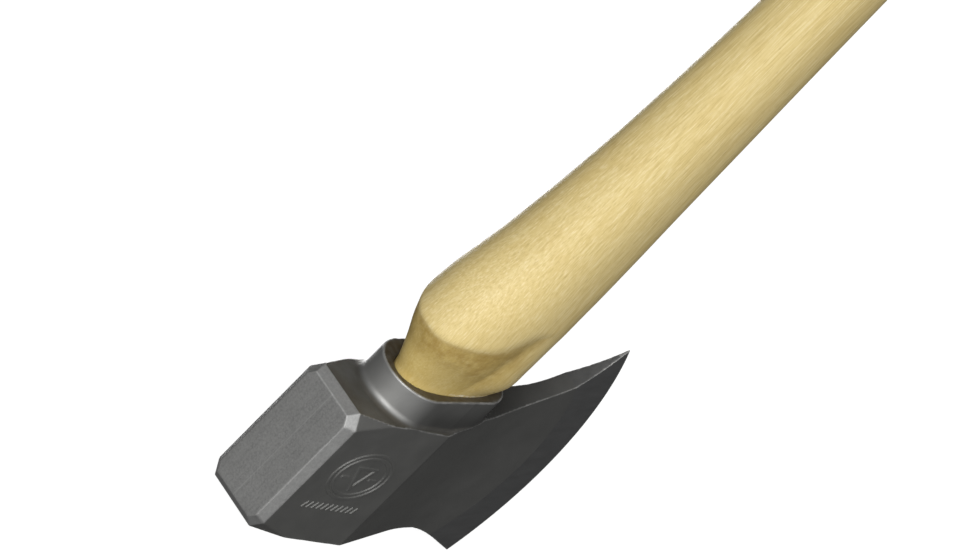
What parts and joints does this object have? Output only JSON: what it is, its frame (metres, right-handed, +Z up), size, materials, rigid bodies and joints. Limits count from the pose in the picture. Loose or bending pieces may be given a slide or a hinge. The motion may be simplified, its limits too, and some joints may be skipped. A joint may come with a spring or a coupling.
{
  "type": "splitting maul",
  "caption": "Splitting maul with a square-cornered steel poll, a wedge-shaped blade with a ground bevel, and a one-piece hardwood handle.",
  "frame": {"origin": "middle of the maul's footprint, level with the lowest point of the blade's toe", "axes": "+Z up the handle towards the grip, +X towards the cutting edge, Y across the cheeks"},
  "size_m": [0.2086, 0.0488, 0.85],
  "materials": {
    "forged_steel": "dark satin, lighter and finely ground on the poll's face",
    "hardwood": "smooth, clear satin coat",
    "wedge_wood": "raw sawn",
    "wedge_steel": "bright turned"
  },
  "bodies": {
    "root": {"maul_head": "forged_steel", "handle": "hardwood", "eye_wedge": "wedge_wood", "ring_wedge": "wedge_steel"}
  },
  "joints": []
}
